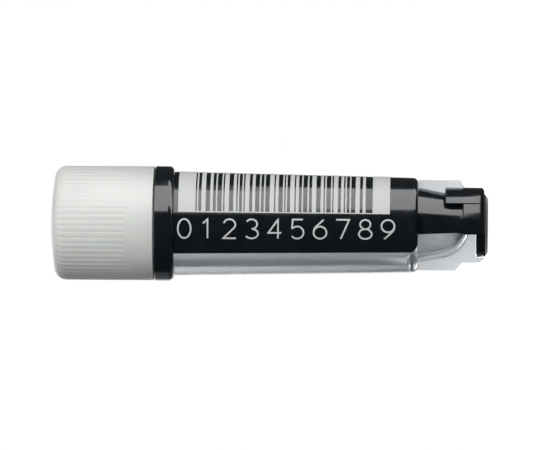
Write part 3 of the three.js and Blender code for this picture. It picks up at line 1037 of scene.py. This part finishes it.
# Name, first and last angle in degrees, inner edge, distance, bottom, top, colour, strength,
# and whether the clear plastic shows the card.
CARDS = (
    ("camera_side_card", -244, -66, CARD_INNER, BACK_WALL, 0, 1.2, PALE_BLUE, 0.035, False),
    ("edge_card", -240, -206, 0.02, 0.59, 0, 0.4, WINDOW_BLUE, 0.27, True),
    ("far_side_card", 5, 75, CARD_INNER, BACK_WALL, 0, 1.2, PALE_SKY, 0.06, False),
    # The card round the foot is painted shade: a dim sheet that only gloss sees, where the floor
    # near the foot lies in the vial's shade.
    ("foot_shade_card", -66, 5, CARD_INNER, NEAR_EDGE, 0, LOW, PALE_SKY, 0.05, False),
    ("floor_gap_card", -66, -54, NEAR_EDGE, BAND_WALL, 0, LOW, PALE_BLUE, 0.035, False),
    ("bright_floor", -54, 5, NEAR_EDGE, BAND_WALL, 0, LOW, BRIGHT, BRIGHT_STRENGTH, False),
    ("bright_band", -62, 5, BAND_WALL, BAND_WALL, 0.0005, 0.02, BRIGHT, BRIGHT_STRENGTH, False),
    ("bright_corner", -66, -9, BAND_WALL, BAND_WALL, 0.02, 0.1, BRIGHT, BRIGHT_STRENGTH, False),
    ("over_band_card", -9, 5, 0.36, 0.36, 0.021, 0.5, PALE_SKY, 0.05, False),
)

# Name, place, the point it faces, width and height, and power in watts.
LAMPS = (
    ("side_fill", (0.34, -0.09, 0.0425), (0, 0, 0.0425), (0.3, 0.085), 0.18),
    ("fill", (0.36, -0.80, 0.5), (0, 0, 0.024), (0.5, 0.5), 8.1),
    ("back_fill", (-0.12, 0.93, 0.35), (0, 0, 0.024), (0.5, 0.5), 8.5),
)


def backdrop_white(tree, plain, white):
    """Mixes a plain shader with a white one that camera, glossy and transmission rays see."""
    path = new_node(tree, "LightPath")
    seen = path.outputs["Is Camera Ray"]
    for ray in ("Is Glossy Ray", "Is Transmission Ray"):
        either = new_node(tree, "Math")
        either.operation = "MAXIMUM"
        tree.links.new(seen, either.inputs[0])
        tree.links.new(path.outputs[ray], either.inputs[1])
        seen = either.outputs[0]
    mix = new_node(tree, "MixShader")
    tree.links.new(seen, mix.inputs["Fac"])
    tree.links.new(plain, mix.inputs[1])
    tree.links.new(white, mix.inputs[2])
    return mix.outputs["Shader"]


def make_world():
    world = bpy.data.worlds.new("studio")
    bpy.context.scene.world = world
    world.use_nodes = True
    tree = world.node_tree
    plain = tree.nodes["Background"]
    plain.inputs["Color"].default_value = WORLD_TINT
    plain.inputs["Strength"].default_value = WORLD_STRENGTH
    white = new_node(tree, "Background", Color=(1, 1, 1, 1), Strength=1.0)
    shader = backdrop_white(tree, plain.outputs[0], white.outputs[0])
    tree.links.new(shader, tree.nodes["World Output"].inputs["Surface"])


def floor_glow(tree):
    """A white glow for the backdrop's rays, a little weaker round the vial."""
    place = new_node(tree, "TexCoord")
    distance = new_node(tree, "VectorMath")
    distance.operation = "LENGTH"
    tree.links.new(place.outputs["Object"], distance.inputs[0])
    strength = make_span(tree, distance.outputs["Value"], GLOW_REACH, GLOW_STRENGTH)
    glow = new_node(tree, "Emission")
    tree.links.new(strength, glow.inputs["Strength"])
    return glow.outputs[0]


def make_floor():
    """A pale floor that takes the vial's shadow and shows white to the backdrop's rays."""
    square = [(-1, -1), (1, -1), (1, 1), (-1, 1)]
    corners = [(FLOOR_REACH * x, FLOOR_REACH * y, 0) for x, y in square]
    floor = solid("floor", corners, [[0, 1, 2, 3]])
    material, tree = node_material("pale_floor")
    paint = tree.nodes["Principled BSDF"]
    paint.inputs["Roughness"].default_value = 0.9
    paint.inputs["Specular IOR Level"].default_value = 0.1
    grain = new_node(tree, "TexNoise", Scale=FLOOR_GRAIN)
    greys = [(grey, grey, grey) for grey in FLOOR_GREYS]
    tint = make_ramp(tree, grain.outputs["Fac"], greys, (0, 1))
    tree.links.new(tint, paint.inputs["Base Color"])
    both = new_node(tree, "AddShader")
    tree.links.new(paint.outputs[0], both.inputs[0])
    tree.links.new(floor_glow(tree), both.inputs[1])
    shader = backdrop_white(tree, paint.outputs[0], both.outputs[0])
    tree.links.new(shader, tree.nodes["Material Output"].inputs["Surface"])
    floor.data.materials.append(material)


def make_lamp(name, place, aim, size, power):
    """A soft area lamp that neither the camera nor gloss sees."""
    data = bpy.data.lights.new(name, "AREA")
    data.shape = "RECTANGLE"
    data.size, data.size_y = size
    data.energy = power
    lamp = bpy.data.objects.new(name, data)
    bpy.context.scene.collection.objects.link(lamp)
    lamp.location = place
    direction = Vector(aim) - Vector(place)
    lamp.rotation_euler = direction.to_track_quat("-Z", "Y").to_euler()
    lamp.visible_camera = False
    lamp.visible_glossy = False


def make_card(name, start, end, inner, distance, bottom, top, color, strength, through):
    """A card that only gloss sees, and clear plastic if it shows through it, between two angles.

    It lies on the floor from its inner edge out to its distance, and stands up there from its
    bottom to its top.
    """
    steps = math.ceil((end - start) / CARD_STEP)
    vertices = []
    for angle in spaced(start, end, steps):
        vertices += [polar(inner, angle, CARD_LIFT), polar(distance, angle, CARD_LIFT)]
        vertices += [polar(distance, angle, max(bottom, CARD_LIFT)), polar(distance, angle, top)]
    faces = []
    for a in range(0, 4 * steps, 4):
        faces.append([a + 2, a + 3, a + 7, a + 6])
        if inner < distance:
            faces.append([a, a + 1, a + 5, a + 4])
    card = solid(name, vertices, faces)
    material, tree = node_material(name)
    glow = new_node(tree, "Emission", Color=(*color, 1), Strength=strength)
    tree.links.new(glow.outputs[0], tree.nodes["Material Output"].inputs["Surface"])
    card.data.materials.append(material)
    card.visible_camera = False
    card.visible_diffuse = False
    card.visible_transmission = through
    card.visible_shadow = False


def make_camera():
    """The photo's view: from the side, with the vial's axis across the picture, cap at left."""
    data = bpy.data.cameras.new("camera")
    data.sensor_width = SENSOR_WIDTH
    data.lens = data.sensor_width * CAMERA_DISTANCE / MM_ACROSS
    data.clip_start, data.clip_end = CLIP
    camera = bpy.data.objects.new("camera", data)
    bpy.context.scene.collection.objects.link(camera)
    place = Vector((CAMERA_SIDE, -CAMERA_DISTANCE, CAMERA_HEIGHT)) * MM
    aim = Vector((CAMERA_SIDE, 0, AIM_HEIGHT)) * MM
    back = (place - aim).normalized()
    right = Vector((0, 0, -1))
    right = (right - back * right.dot(back)).normalized()
    up = back.cross(right)
    turned = Matrix((right, up, back)).transposed()
    camera.rotation_euler = (turned @ Matrix.Rotation(CAMERA_ROLL, 3, "Z")).to_euler()
    camera.location = place
    bpy.context.scene.camera = camera


make_world()
make_floor()
for card in CARDS:
    make_card(*card)
for lamp in LAMPS:
    make_lamp(*lamp)
make_camera()
bpy.context.scene.view_settings.view_transform = "Standard"
